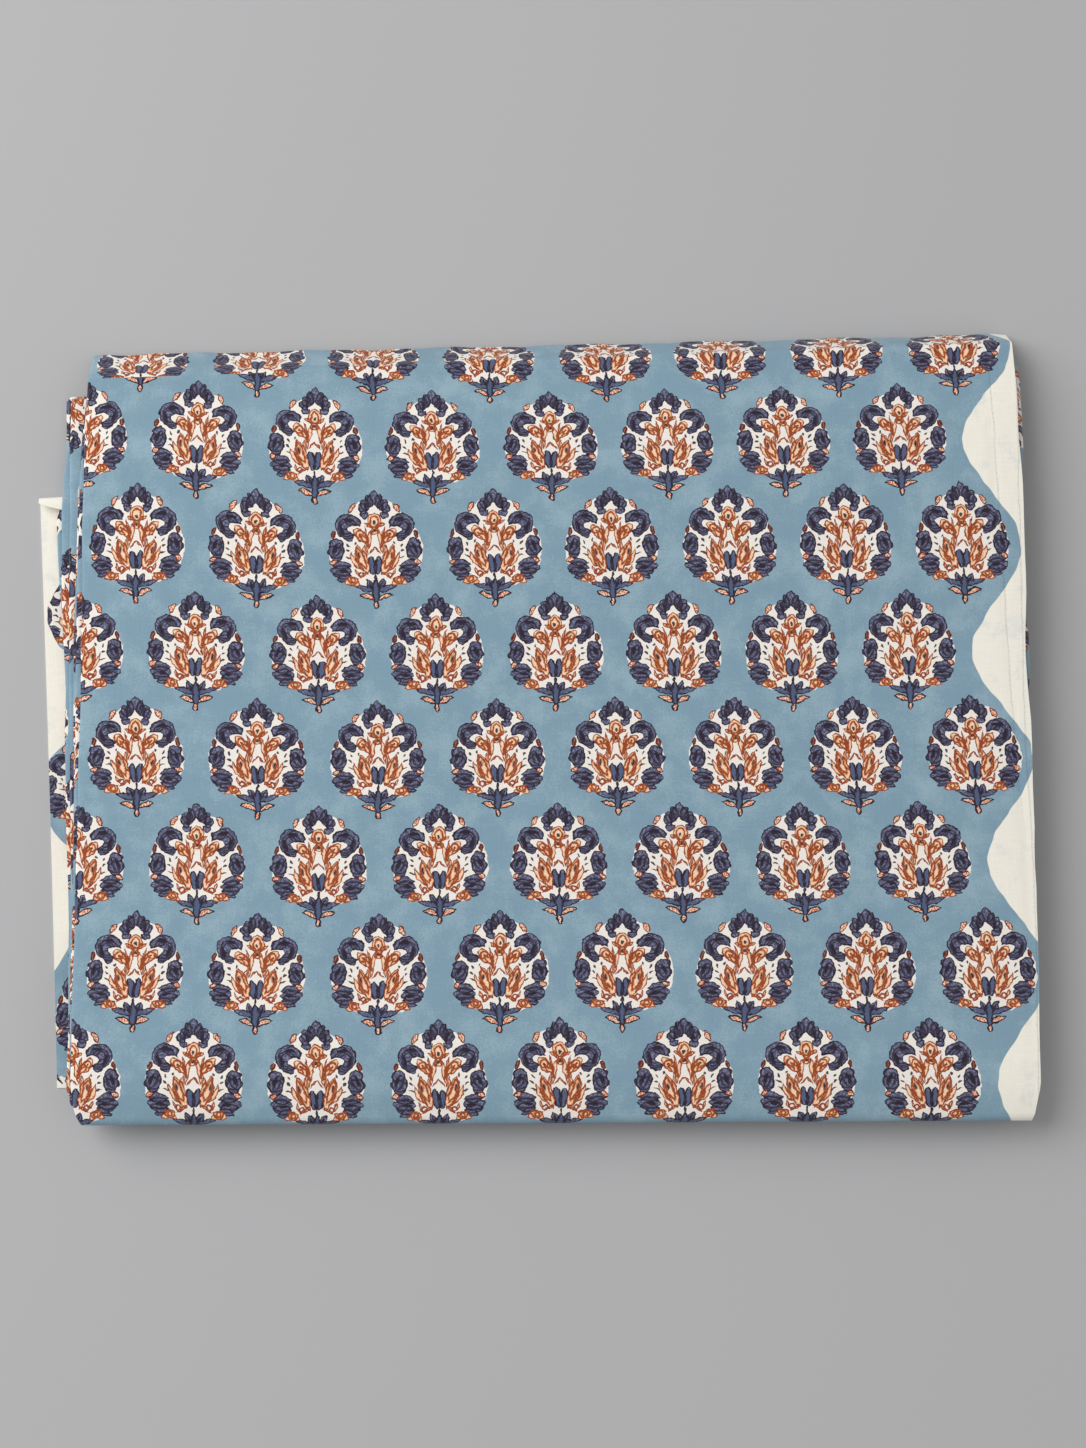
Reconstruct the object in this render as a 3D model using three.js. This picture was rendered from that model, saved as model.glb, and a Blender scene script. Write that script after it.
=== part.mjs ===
// A length of block printed cotton, folded lengthwise into a strip and then back and forth into a flat pile.
// One solid: the strip as a sheet of even thickness, with seven layers, six turns and a loose end that
// hangs down the far side. X runs to the right, Y away from the viewer, Z up, in millimetres, and the
// origin is the middle of the pile's box, on the surface that the pile lies on.
import * as THREE from "three";

// The strip: three plies of the cotton pressed together, with a little air between one layer and the next.
const stripThickness = 2.2;
const layerPitch = 2.8;

// The turns of the strip, from the end that hangs over the top's far edge down to the lowest end. reachLeft
// and reachRight are how far the turn's outermost face comes along Y at its two corners; left and right are
// where the strip's edges are along X. bow is how far the layer before the turn swells out to the right.
const turns = [
  { name: "hanging end", reachLeft: 152.4, reachRight: 159.4, left: -176.6, right: 180.0, bow: 0.0 },
  { name: "top near fold", reachLeft: -151.6, reachRight: -149.8, left: -174.6, right: 184.4, bow: 2.4 },
  { name: "upper far fold", reachLeft: 138.2, reachRight: 150.6, left: -179.0, right: 187.6, bow: -0.8 },
  { name: "middle near fold", reachLeft: -144.4, reachRight: -143.0, left: -178.2, right: 188.0, bow: 1.0 },
  { name: "middle far fold", reachLeft: 134.6, reachRight: 143.5, left: -187.6, right: 178.0, bow: -1.2 },
  { name: "lower near fold", reachLeft: -140.6, reachRight: -138.4, left: -181.0, right: 185.2, bow: 1.6 },
  { name: "lowest far fold", reachLeft: 93.2, reachRight: 113.6, left: -198.2, right: 168.0, bow: -0.9 },
  { name: "lowest end", reachLeft: -137.2, reachRight: -126.0, left: -184.6, right: 181.4, bow: 0.8 },
];

// The crease over which the hanging end turns down, and the slope of that end below the crease, in degrees.
const crease = { reachLeft: 137.4, reachRight: 150.8, left: -177.6, right: 183.6, radius: 4.0 };
const hangingSlope = { left: 45, right: 61 };
const hangingEndHeight = 4.7;

// How the pile gives: it droops where its upper near folds reach past the lower ones, its far side sags past
// the lowest fold, it thins a little towards its left and right edges, and its layers swell in faint waves.
const nearDroop = { from: -128, reach: 23, share: 0.27 };
const farSag = { past: 5, run: 32, drop: 3.0 };
const edgeThinning = { width: 26, share: 0.07 };
const swell = { height: 0.32, fromX: -230, acrossX: 160, fromY: -20, alongY: 90, lowest: 9, full: 14 };

// How finely the sheet is divided: steps across, along a layer, round a turn, and down the hanging end.
const stepsAcross = 12;
const stepsAlongLayer = 16;
const stepsRoundTurn = 6;
const stepsRoundCrease = 3;
const stepsDownEnd = 3;

// The last turn before the lowest layer, and how the loose lower layers are told from those above them.
const lowestTurn = turns[6];
const layersBelowSag = 2;

const layerCount = turns.length - 1;
const turnRadius = layerPitch / 2;
const turnReach = turnRadius + stripThickness / 2;
const pileLeft = turns[4].left;
const pileRight = turns[3].right;

// Evenly rounded spacing from 0 to 1, closer together near both ends.
const easedShare = (step, steps) => (1 - Math.cos((Math.PI * step) / steps)) / 2;
const mix = THREE.MathUtils.lerp;
const smoothstep = THREE.MathUtils.smoothstep;
const layerHeight = (layer) => stripThickness / 2 + (layerCount - 1 - layer) * layerPitch;

// The next three functions list points on the sheet's middle, before the pile gives. Each point has its place
// along Y and Z, the way its printed face looks, and where the strip's left and right edges are there.

// The end that hangs down, from its lower edge up to the crease, and round it.
function hangingEnd(across) {
  const slope = THREE.MathUtils.degToRad(mix(hangingSlope.left, hangingSlope.right, across));
  const creaseY = mix(crease.reachLeft, crease.reachRight, across);
  const centreZ = layerHeight(0) - crease.radius;
  const bendY = creaseY + crease.radius * Math.sin(slope);
  const bendZ = centreZ + crease.radius * Math.cos(slope);
  const length = (bendZ - hangingEndHeight) / Math.sin(slope);
  const points = [];
  for (let step = 0; step < stepsDownEnd; step++) {
    const share = 1 - step / stepsDownEnd;
    points.push({
      y: bendY + length * share * Math.cos(slope),
      z: bendZ - length * share * Math.sin(slope),
      normalY: Math.sin(slope),
      normalZ: Math.cos(slope),
      left: mix(crease.left, turns[0].left, share),
      right: mix(crease.right, turns[0].right, share),
    });
  }
  for (let step = 0; step < stepsRoundCrease; step++) {
    const angle = slope * (1 - step / stepsRoundCrease);
    points.push({
      y: creaseY + crease.radius * Math.sin(angle),
      z: centreZ + crease.radius * Math.cos(angle),
      normalY: Math.sin(angle),
      normalZ: Math.cos(angle),
      left: crease.left,
      right: crease.right,
    });
  }
  return points;
}

// One flat layer, from the turn before it to the turn after it.
function flatLayer(layer, across) {
  const start = layer === 0 ? crease : turns[layer];
  const end = turns[layer + 1];
  const towardsViewer = layer % 2 === 0 ? -1 : 1;
  const startInset = layer === 0 ? 0 : turnReach;
  const endInset = layer === layerCount - 1 ? 0 : turnReach;
  const startY = mix(start.reachLeft, start.reachRight, across) + towardsViewer * startInset;
  const endY = mix(end.reachLeft, end.reachRight, across) - towardsViewer * endInset;
  const points = [];
  for (let step = 0; step <= stepsAlongLayer; step++) {
    const share = easedShare(step, stepsAlongLayer);
    const swelling = end.bow * Math.sin(Math.PI * share);
    points.push({
      y: mix(startY, endY, share),
      z: layerHeight(layer),
      normalY: 0,
      normalZ: -towardsViewer,
      left: mix(start.left, end.left, share) + swelling / 2,
      right: mix(start.right, end.right, share) + swelling,
    });
  }
  return points;
}

// The half turn from one layer to the next one down.
function halfTurn(layer, across) {
  const turn = turns[layer + 1];
  const outwards = layer % 2 === 0 ? -1 : 1;
  const centreY = mix(turn.reachLeft, turn.reachRight, across) - outwards * turnReach;
  const centreZ = layerHeight(layer) - turnRadius;
  const points = [];
  for (let step = 1; step < stepsRoundTurn; step++) {
    const angle = (Math.PI * step) / stepsRoundTurn;
    const outY = outwards * Math.sin(angle);
    const outZ = Math.cos(angle);
    const printedSide = -outwards;
    points.push({
      y: centreY + turnRadius * outY,
      z: centreZ + turnRadius * outZ,
      normalY: printedSide * outY,
      normalZ: printedSide * outZ,
      left: turn.left,
      right: turn.right,
    });
  }
  return points;
}

// The whole strip along its length, at one place across its width.
function lengthwiseLine(across) {
  const points = hangingEnd(across);
  for (let layer = 0; layer < layerCount; layer++) {
    points.push(...flatLayer(layer, across));
    if (layer < layerCount - 1) points.push(...halfTurn(layer, across));
  }
  return points;
}

// The height of a point after the pile has given. Points move along Z only, and never past each other.
function settledHeight(x, y, z) {
  const across = (x - pileLeft) / (pileRight - pileLeft);
  const sagStart = mix(lowestTurn.reachLeft, lowestTurn.reachRight, across) + farSag.past;
  const aboveLowest = z > layersBelowSag * layerPitch - 0.1;
  const past = smoothstep(y, sagStart, sagStart + farSag.run);
  const sagged = aboveLowest ? z - farSag.drop * past : z;
  const near = Math.max(0, (nearDroop.from - y) / nearDroop.reach);
  const fromEdge = Math.max(0, Math.min(x - pileLeft, pileRight - x));
  const edge = Math.max(0, 1 - fromEdge / edgeThinning.width);
  const squeezed = sagged * (1 - nearDroop.share * near ** 2) * (1 - edgeThinning.share * edge ** 2);
  const waveAcross = Math.sin((Math.PI * (x - swell.fromX)) / swell.acrossX);
  const waveAlong = Math.sin((Math.PI * (y - swell.fromY)) / swell.alongY);
  return squeezed + swell.height * waveAcross * waveAlong * smoothstep(z, swell.lowest, swell.full);
}

// The sheet as a closed shell: a printed face, a reverse face and the rim that joins them.
function foldedSheet() {
  const printedFace = [];
  const reverseFace = [];
  for (let column = 0; column <= stepsAcross; column++) {
    const across = easedShare(column, stepsAcross);
    for (const point of lengthwiseLine(across)) {
      const x = mix(point.left, point.right, across);
      for (const [face, side] of [[printedFace, 1], [reverseFace, -1]]) {
        const y = point.y + (side * point.normalY * stripThickness) / 2;
        const z = point.z + (side * point.normalZ * stripThickness) / 2;
        face.push(x, y, settledHeight(x, y, z));
      }
    }
  }
  const reverseStart = printedFace.length / 3;
  const edge = stepsAcross;
  const rows = reverseStart / (edge + 1);
  const last = rows - 1;
  const printed = (column, row) => column * rows + row;
  const reverse = (column, row) => reverseStart + column * rows + row;
  const triangles = [];
  const quad = (a, b, c, d) => triangles.push(a, b, c, a, c, d);
  for (let column = 0; column < stepsAcross; column++) {
    const next = column + 1;
    for (let row = 0; row < last; row++) {
      quad(printed(column, row), printed(column, row + 1), printed(next, row + 1), printed(next, row));
      quad(reverse(column, row), reverse(next, row), reverse(next, row + 1), reverse(column, row + 1));
    }
    quad(printed(column, 0), printed(next, 0), reverse(next, 0), reverse(column, 0));
    quad(printed(next, last), printed(column, last), reverse(column, last), reverse(next, last));
  }
  for (let row = 0; row < last; row++) {
    quad(printed(0, row + 1), printed(0, row), reverse(0, row), reverse(0, row + 1));
    quad(printed(edge, row), printed(edge, row + 1), reverse(edge, row + 1), reverse(edge, row));
  }
  const geometry = new THREE.BufferGeometry();
  geometry.setAttribute("position", new THREE.Float32BufferAttribute([...printedFace, ...reverseFace], 3));
  geometry.setIndex(triangles);
  geometry.computeBoundingBox();
  const middle = geometry.boundingBox.getCenter(new THREE.Vector3());
  geometry.translate(-middle.x, -middle.y, 0);
  geometry.computeVertexNormals();
  return geometry;
}

// Washed blue cotton, seen from afar: matt, with no metal in it.
const cotton = new THREE.MeshStandardMaterial({ color: 0x7da3bc, roughness: 0.88, metalness: 0 });

const pile = new THREE.Group();
const cloth = new THREE.Mesh(foldedSheet(), cotton);
cloth.name = "cloth";
pile.add(cloth);

export default pile;
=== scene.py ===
# %% [markdown]
# # A folded length of block printed cotton
#
# The real thing is one long piece of thin cotton, printed by hand with wooden blocks. Its maker folded it in
# three along its length, like a letter, and then back and forth into a flat pile. This lesson folds one flat
# grid in the same way, prints it with a pattern made of shader nodes, and lights it like a product photo.

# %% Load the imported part
import math

import bpy
import numpy as np
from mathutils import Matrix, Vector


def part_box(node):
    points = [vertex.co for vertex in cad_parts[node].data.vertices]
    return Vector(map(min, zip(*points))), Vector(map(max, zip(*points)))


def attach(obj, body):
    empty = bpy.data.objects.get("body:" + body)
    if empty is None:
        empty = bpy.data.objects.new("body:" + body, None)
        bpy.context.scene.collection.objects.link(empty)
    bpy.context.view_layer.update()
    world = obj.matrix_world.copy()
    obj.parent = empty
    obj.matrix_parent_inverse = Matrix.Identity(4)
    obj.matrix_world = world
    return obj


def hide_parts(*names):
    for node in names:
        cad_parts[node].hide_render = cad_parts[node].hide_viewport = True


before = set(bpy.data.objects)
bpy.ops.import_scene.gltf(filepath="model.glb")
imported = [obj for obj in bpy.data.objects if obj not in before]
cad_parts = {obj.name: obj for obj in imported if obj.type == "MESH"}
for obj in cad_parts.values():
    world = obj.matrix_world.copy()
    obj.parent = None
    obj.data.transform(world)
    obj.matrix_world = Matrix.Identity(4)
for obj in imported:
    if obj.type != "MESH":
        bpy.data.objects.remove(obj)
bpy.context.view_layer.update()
box_low, box_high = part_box("cloth")
print("packed cloth, lowest and highest corner in metres:", box_low, box_high)

# %% [markdown]
# ## The strip's fold table
#
# The pile was measured from the photo as a strip with seven layers. The sizes below are the ones the solid
# part was built from, in millimetres, so that the thin sheet lies where the solid is. Only the far crease and
# the end that hangs from it are a little finer. A real folded cloth is never quite square: each turn reaches
# a little further at one corner than at the other.

# %% Sizes of the pile, in millimetres
MM = 0.001
STRIP_THICKNESS = 2.2
LAYER_PITCH = 2.8
LAYERS = 7
TURN_RADIUS = LAYER_PITCH / 2
TURN_REACH = TURN_RADIUS + STRIP_THICKNESS / 2

# Where each turn reaches along Y at its left and right corners, where the strip's edges are along X, and how
# far the layer before the turn swells out to the right.
TURN_COLUMNS = ("reach_left", "reach_right", "left", "right", "bow")
TURN_ROWS = {
    "hanging end": (152.4, 159.4, -176.6, 180.0, 0.0),
    "top near fold": (-151.6, -149.8, -174.6, 184.4, 2.4),
    "upper far fold": (138.2, 150.6, -179.0, 187.6, -0.8),
    "middle near fold": (-144.4, -143.0, -178.2, 188.0, 1.0),
    "middle far fold": (134.6, 143.5, -187.6, 178.0, -1.2),
    "lower near fold": (-140.6, -138.4, -181.0, 185.2, 1.6),
    "lowest far fold": (93.2, 113.6, -198.2, 168.0, -0.9),
    "lowest end": (-137.2, -126.0, -184.6, 181.4, 0.8),
}
TURNS = [dict(zip(TURN_COLUMNS, row)) for row in TURN_ROWS.values()]
LOWEST_TURN = TURNS[6]
# The solid's far crease has a radius of 4 mm. Thin cotton pressed by its own weight turns much more sharply.
CREASE = {"reach_left": 137.6, "reach_right": 151.4, "left": -177.6, "right": 183.6, "radius": 1.3}
# The hanging end's slope below the crease, in degrees, and the height of its lower edge.
END_SLOPE = {"left": 45.0, "right": 61.0}
END_HEIGHT = 5.2
print(len(TURNS), "turns and ends,", LAYERS, "layers")

# %% Helpers for blending between two values
def mix(start, end, share):
    """A value part of the way from start to end."""
    return start + (end - start) * share


def smoothstep(value, start, end):
    """0 before start, 1 after end, and a soft rise between them."""
    share = np.clip((value - start) / (end - start), 0.0, 1.0)
    return share * share * (3.0 - 2.0 * share)


def eased(steps):
    """Shares from 0 to 1 that lie closer together near both ends."""
    return (1.0 - np.cos(np.pi * np.arange(steps + 1) / steps)) / 2.0


# %% [markdown]
# ## The path along the strip
#
# Seen from the side, the strip runs like a paper ribbon: a short end hangs down the far side, and then seven
# flat layers are joined by half turns. One function gives the strip's middle line at any place along it. It
# could also be a curve object with a bevel, but a function can let the left and right edges differ.

# %% One place along the strip
def level(layer):
    """The height of the middle of a flat layer, before the pile settles."""
    return STRIP_THICKNESS / 2 + (LAYERS - 1 - layer) * LAYER_PITCH


def reach(turn, across):
    """How far a turn or the crease comes along Y."""
    return mix(turn["reach_left"], turn["reach_right"], across)


def end_point(share, across):
    """The hanging end: share 0 is at the crease, 1 at its lower edge."""
    slope = np.radians(mix(END_SLOPE["left"], END_SLOPE["right"], across))
    bend_y = reach(CREASE, across) + CREASE["radius"] * np.sin(slope)
    bend_z = level(0) - CREASE["radius"] + CREASE["radius"] * np.cos(slope)
    length = (bend_z - END_HEIGHT) / np.sin(slope)
    left = mix(CREASE["left"], TURNS[0]["left"], share)
    right = mix(CREASE["right"], TURNS[0]["right"], share)
    y = bend_y + length * share * np.cos(slope)
    z = bend_z - length * share * np.sin(slope)
    return y, z, np.sin(slope), np.cos(slope), left, right


def crease_point(share, across):
    """The crease: share 0 is on the top layer, 1 where the hanging end starts."""
    angle = np.radians(mix(END_SLOPE["left"], END_SLOPE["right"], across)) * share
    y = reach(CREASE, across) + CREASE["radius"] * np.sin(angle)
    z = level(0) - CREASE["radius"] + CREASE["radius"] * np.cos(angle)
    return y, z, np.sin(angle), np.cos(angle), CREASE["left"], CREASE["right"]


def layer_point(layer, share, across):
    """A flat layer, from the turn before it to the turn after it."""
    start = CREASE if layer == 0 else TURNS[layer]
    end = TURNS[layer + 1]
    towards_viewer = -1.0 if layer % 2 == 0 else 1.0
    start_inset = 0.0 if layer == 0 else TURN_REACH
    end_inset = 0.0 if layer == LAYERS - 1 else TURN_REACH
    start_y = reach(start, across) + towards_viewer * start_inset
    end_y = reach(end, across) - towards_viewer * end_inset
    swelling = end["bow"] * math.sin(math.pi * share)
    left = mix(start["left"], end["left"], share) + swelling / 2
    right = mix(start["right"], end["right"], share) + swelling
    y = mix(start_y, end_y, share)
    blank = 0.0 * across
    return y, level(layer) + blank, blank, -towards_viewer + blank, left, right


def turn_point(layer, share, across):
    """The half turn after a layer: share 0 is at its start and 1 at its end."""
    turn = TURNS[layer + 1]
    outwards = -1.0 if layer % 2 == 0 else 1.0
    out_y = outwards * math.sin(math.pi * share)
    out_z = math.cos(math.pi * share)
    y = reach(turn, across) - outwards * TURN_REACH + TURN_RADIUS * out_y
    z = level(layer) - TURN_RADIUS + TURN_RADIUS * out_z
    blank = 0.0 * across
    return y, z + blank, -outwards * out_y + blank, -outwards * out_z + blank, turn["left"], turn["right"]


def strip_point(station, across):
    """Any place along the strip: Y, Z, the way the printed face looks along both, and the strip's edges."""
    kind, layer, share = station
    if kind == "end":
        return end_point(share, across)
    if kind == "crease":
        return crease_point(share, across)
    if kind == "layer":
        return layer_point(layer, share, across)
    return turn_point(layer, share, across)


# %% List the rows of the grid along the strip
END_STEPS, CREASE_STEPS, TURN_STEPS = 8, 6, 8
LAYER_STEPS = [56, 26, 22, 22, 22, 26, 30]

stations = [("end", 0, 1.0 - step / END_STEPS) for step in range(END_STEPS)]
stations += [("crease", 0, 1.0 - step / CREASE_STEPS) for step in range(CREASE_STEPS)]
for layer in range(LAYERS):
    stations += [("layer", layer, share) for share in eased(LAYER_STEPS[layer])]
    if layer < LAYERS - 1:
        stations += [("turn", layer, step / TURN_STEPS) for step in range(1, TURN_STEPS)]
stations.reverse()
print(len(stations), "rows along the length of the cloth")

# %% [markdown]
# ## The section across the strip
#
# Across its width the cloth is folded like a letter. Ply one is outermost, with its selvedge at the right. It
# turns under at the left into ply two, and ply two turns under at the right into ply three. The selvedge of
# ply three ends inside the pile, except in the lowest layers, where it sticks out at the left.

# %% List the columns of the grid across the cloth
CLOTH_WIDTH = 1076.0
# From the middle of one ply to the next, how far a lengthwise fold bulges out, and the cloth it takes up.
PLY_PITCH = 0.875
FOLD_REACH = 0.9
FOLD_ARC = 2.3
FOLD_STEPS = 6

# Each column: the ply or fold that it lies on, and its share of the way there, from the left selvedge of the
# flat cloth to its right one.
top_shares = np.concatenate([
    np.linspace(0.0, 0.05, 7),
    np.linspace(0.05, 0.90, 48)[1:],
    np.linspace(0.90, 1.0, 30)[1:],
])
under_shares = eased(24)
fold_shares = np.arange(1, FOLD_STEPS) / FOLD_STEPS
columns = [("ply three", share) for share in under_shares]
columns += [("right fold", share) for share in fold_shares]
columns += [("ply two", share) for share in under_shares]
columns += [("left fold", share) for share in fold_shares]
columns += [("ply one", share) for share in top_shares]
kinds = np.array([kind for kind, share in columns])
shares = np.array([share for kind, share in columns])
print(len(columns), "columns across the width of the cloth")

# %% Edges that wander, as the photo shows them
# Each line lists places along Y, from near to far, and where an edge is along X there. They follow the
# solid's edges within two millimetres or so. The top's selvedge lies over the folds below it, almost to the
# outline.
EDGE_LINES = {
    "top selvedge": [
        (-150.6, 182.4), (-147.9, 184.0), (-142.4, 185.0), (-137.0, 186.2), (-100.0, 186.6), (-60.0, 186.7),
        (-52.0, 186.0), (-40.0, 186.6), (0.0, 186.8), (14.0, 186.0), (32.0, 185.4), (56.0, 186.5),
        (98.0, 186.1), (116.0, 185.2), (130.0, 185.4), (153.0, 184.4),
    ],
    "right outline": [
        (-150.6, 182.4), (-147.9, 184.0), (-142.4, 185.0), (-136.8, 186.0), (-100.0, 186.5), (100.0, 186.4),
        (140.0, 186.0), (153.0, 185.0),
    ],
    "left of layer 0": [
        (-150.6, -173.0), (-148.5, -174.4), (-145.4, -175.3), (-140.5, -176.2), (-135.0, -176.8),
        (-98.0, -176.9), (-45.0, -176.5), (0.0, -176.9), (25.0, -177.4), (76.0, -178.1), (130.0, -178.3),
        (150.0, -178.5),
    ],
    "left of layer 1": [
        (-150.6, -173.0), (-146.0, -175.2), (-100.0, -177.6), (-30.0, -178.7), (20.0, -180.0),
        (110.0, -180.2), (140.0, -179.0),
    ],
    "left of layer 2": [(-144.0, -177.6), (-60.0, -178.8), (20.0, -180.8), (110.0, -181.2), (140.0, -179.0)],
    "left of layer 3": [(-144.0, -177.6), (-60.0, -180.4), (0.0, -182.2), (60.0, -184.4), (134.0, -186.4)],
    "left of layer 4": [
        (-143.2, -177.6), (-138.0, -179.5), (-104.0, -180.2), (-66.0, -181.3), (-28.0, -183.2),
        (-4.0, -184.1), (15.0, -184.6), (31.0, -185.7), (45.0, -187.5), (83.0, -188.4), (95.0, -188.4),
        (108.0, -187.3), (134.0, -188.0),
    ],
}
UPPER_LAYERS = 4
LAST_LINED_LAYER = 4
# Where folds of the layers below look out past the top's selvedge, from Y to Y, how softly each one begins
# and ends, and how much further out the fold lies there.
SLIVERS = [(98.0, 146.0), (11.0, 41.0), (-57.0, -50.0)]
SLIVER_SOFTNESS = 3.0
SLIVER_REACH = 3.4
# How far inside the line that it follows each edge at the right lies, and how far past the strip it may go.
LOWER_FOLD_INSET, LOWER_SELVEDGE_INSET = 0.3, 1.2
TOP_FOLD_INSET, UPPER_FOLD_INSET, UPPER_SELVEDGE_INSET = 1.4, 2.4, 0.3
PAST_STRIP = 2.0
# Ply three's selvedge on the layer above the lowest: at its start, at its end, and from where it comes out.
UNDER_EDGE_START, UNDER_EDGE_END, COMES_OUT = -179.0, -186.4, 0.98
LEAST_FOLDED_UNDER = 4.0


def edge_line(name, y):
    """Where one of the wandering edges is along X."""
    places, values = zip(*EDGE_LINES[name])
    return float(np.interp(y, places, values))


def sliver(y):
    """1 where a fold looks out at the right, and 0 elsewhere."""
    soft = SLIVER_SOFTNESS
    return max(float(smoothstep(y, low - soft, low + soft) * smoothstep(-y, -high - soft, soft - high))
               for low, high in SLIVERS)


# %% Where the plies' edges are on one row
def fold_at_left(station, y):
    """Along X: where the fold at the left of an upper row is."""
    kind, layer, share = station
    here = edge_line(f"left of layer {layer}", y)
    if kind == "turn" and layer < LAST_LINED_LAYER:
        here = mix(here, edge_line(f"left of layer {layer + 1}", y), share)
    return here


def edges_at_right(station, right, y):
    """Along X: where the fold at the right of a row is, and the selvedge that lies over or under it."""
    kind, layer, share = station
    if layer >= UPPER_LAYERS or kind == "turn" and layer == UPPER_LAYERS - 1:
        return right - LOWER_FOLD_INSET, right - LOWER_SELVEDGE_INSET
    if layer == 0 and kind != "turn":
        selvedge = edge_line("top selvedge", y)
        return min(right, selvedge - TOP_FOLD_INSET), selvedge
    outline = edge_line("right outline", y)
    fold = min(right + PAST_STRIP, outline - UPPER_FOLD_INSET + SLIVER_REACH * sliver(y))
    return fold, min(right + PAST_STRIP, outline) - UPPER_SELVEDGE_INSET


def ply_edges(station, left, right, left_y, right_y):
    """Along X: the left selvedge of ply three, the left fold, the right fold and the right selvedge."""
    kind, layer, share = station
    right_fold, selvedge = edges_at_right(station, right, right_y)
    flat_plies = CLOTH_WIDTH - 2 * FOLD_ARC
    if layer <= LAST_LINED_LAYER:
        left_fold = fold_at_left(station, left_y)
        under_edge = right_fold - (flat_plies - (selvedge - left_fold) - (right_fold - left_fold))
        return max(under_edge, left_fold + LEAST_FOLDED_UNDER), left_fold, right_fold, selvedge
    under_edge = left
    if kind == "layer" and layer < LAYERS - 1:
        out = float(smoothstep(share, COMES_OUT, 1.0))
        under_edge = mix(mix(UNDER_EDGE_START, UNDER_EDGE_END, share), LOWEST_TURN["left"], out)
    two_plies = flat_plies - (right_fold - under_edge)
    return under_edge, (selvedge + right_fold - two_plies) / 2, right_fold, selvedge


# %% [markdown]
# ## How the pile settles
#
# Soft cloth gives. The near folds droop where they reach past the lower ones, the far side sags past the
# lowest fold, and the top swells in faint waves. The points only move up or down, and by the same rule for
# every ply, so no ply is pushed through another.

# %% Let the whole pile give
NEAR_DROOP = {"start": -128.0, "reach": 23.0, "share": 0.27}
FAR_SAG = {"past": 5.0, "run": 32.0, "drop": 3.0}
EDGE_THINNING = {"width": 26.0, "share": 0.07}
SWELL = {"height": 0.32, "from_x": -230.0, "across_x": 160.0, "from_y": -20.0, "along_y": 90.0}
SWELL_LOWEST, SWELL_FULL = 9.0, 14.0
PILE_LEFT, PILE_RIGHT = TURNS[4]["left"], TURNS[3]["right"]


def settled_height(x, y, z):
    """The height of a point after the pile has given, much as in the solid part."""
    across = (x - PILE_LEFT) / (PILE_RIGHT - PILE_LEFT)
    sag_start = reach(LOWEST_TURN, across) + FAR_SAG["past"]
    sagged = z - FAR_SAG["drop"] * smoothstep(y, sag_start, sag_start + FAR_SAG["run"])
    near = np.maximum(0.0, (NEAR_DROOP["start"] - y) / NEAR_DROOP["reach"])
    from_edge = np.maximum(0.0, np.minimum(x - PILE_LEFT, PILE_RIGHT - x))
    edge = np.maximum(0.0, 1.0 - from_edge / EDGE_THINNING["width"])
    squeezed = sagged * (1.0 - NEAR_DROOP["share"] * near**2) * (1.0 - EDGE_THINNING["share"] * edge**2)
    wave_x = np.sin(np.pi * (x - SWELL["from_x"]) / SWELL["across_x"])
    wave_y = np.sin(np.pi * (y - SWELL["from_y"]) / SWELL["along_y"])
    return squeezed + SWELL["height"] * wave_x * wave_y * smoothstep(z, SWELL_LOWEST, SWELL_FULL)


# %% Ripples
# Each row has its wavelength along X, its wavelength along Y, its height and its phase. The heights are small
# beside the gap between plies.
RIPPLES = [
    (71.0, 260.0, 0.10, 0.4), (190.0, 47.0, 0.09, 1.9), (33.0, 120.0, 0.05, 3.0), (88.0, 23.0, 0.04, 5.1),
]
RIPPLE_LOWEST, RIPPLE_FULL = 1.0, 16.0


def ripple(x, y, z):
    """Faint waves that grow with the height in the pile."""
    total = 0.0 * x
    for wave_x, wave_y, height, phase in RIPPLES:
        total = total + height * np.sin(2 * np.pi * (x / wave_x + y / wave_y) + phase)
    return total * smoothstep(z, RIPPLE_LOWEST, RIPPLE_FULL)


# %% Main creases pressed into the top layer
# Each one runs from X, Y to X, Y, and has a depth and a half width.
CREASES = {
    "folded edge under the border": (173.6, 137.0, 185.4, -107.0, 0.20, 1.3),
    "wrinkle by the far corner": (176.0, 116.0, 183.5, 98.0, 0.22, 1.5),
    "wrinkle by the middle": (178.5, 26.0, 186.0, 9.0, 0.26, 1.5),
    "long wrinkle in the border": (180.5, 2.0, 184.6, -60.0, 0.20, 1.2),
    "wrinkle by the near corner": (182.4, -88.0, 183.6, -140.0, 0.16, 1.0),
    "left pressed line": (-171.0, 112.0, -169.6, -60.0, 0.12, 1.8),
    "near pressed line": (-150.0, -139.5, 120.0, -138.0, 0.08, 3.2),
    "slack below the far crease": (-170.0, 126.0, 30.0, 136.0, 0.14, 4.5),
}
CREASE_FADE = 12.0
CREASED_FROM, CREASED_FULL = 15.0, 18.0


def crease_depth(x, y):
    """How far the pressed creases sink at a point of the top layer."""
    total = 0.0 * x
    for from_x, from_y, to_x, to_y, depth, half_width in CREASES.values():
        run_x, run_y = to_x - from_x, to_y - from_y
        length = math.hypot(run_x, run_y)
        along = ((x - from_x) * run_x + (y - from_y) * run_y) / length
        aside = ((x - from_x) * run_y - (y - from_y) * run_x) / length
        faded_in = smoothstep(along, -CREASE_FADE, CREASE_FADE)
        ends = faded_in * smoothstep(length - along, -CREASE_FADE, CREASE_FADE)
        uneven = 0.75 + 0.25 * np.sin(along / 9.0 + from_x)
        total = total + depth * ends * uneven * np.exp(-((aside / half_width) ** 2))
    return total


# %% Lay out one row across the cloth
is_ply = {name: kinds == name for name in ("ply one", "ply two", "ply three", "left fold", "right fold")}


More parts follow.
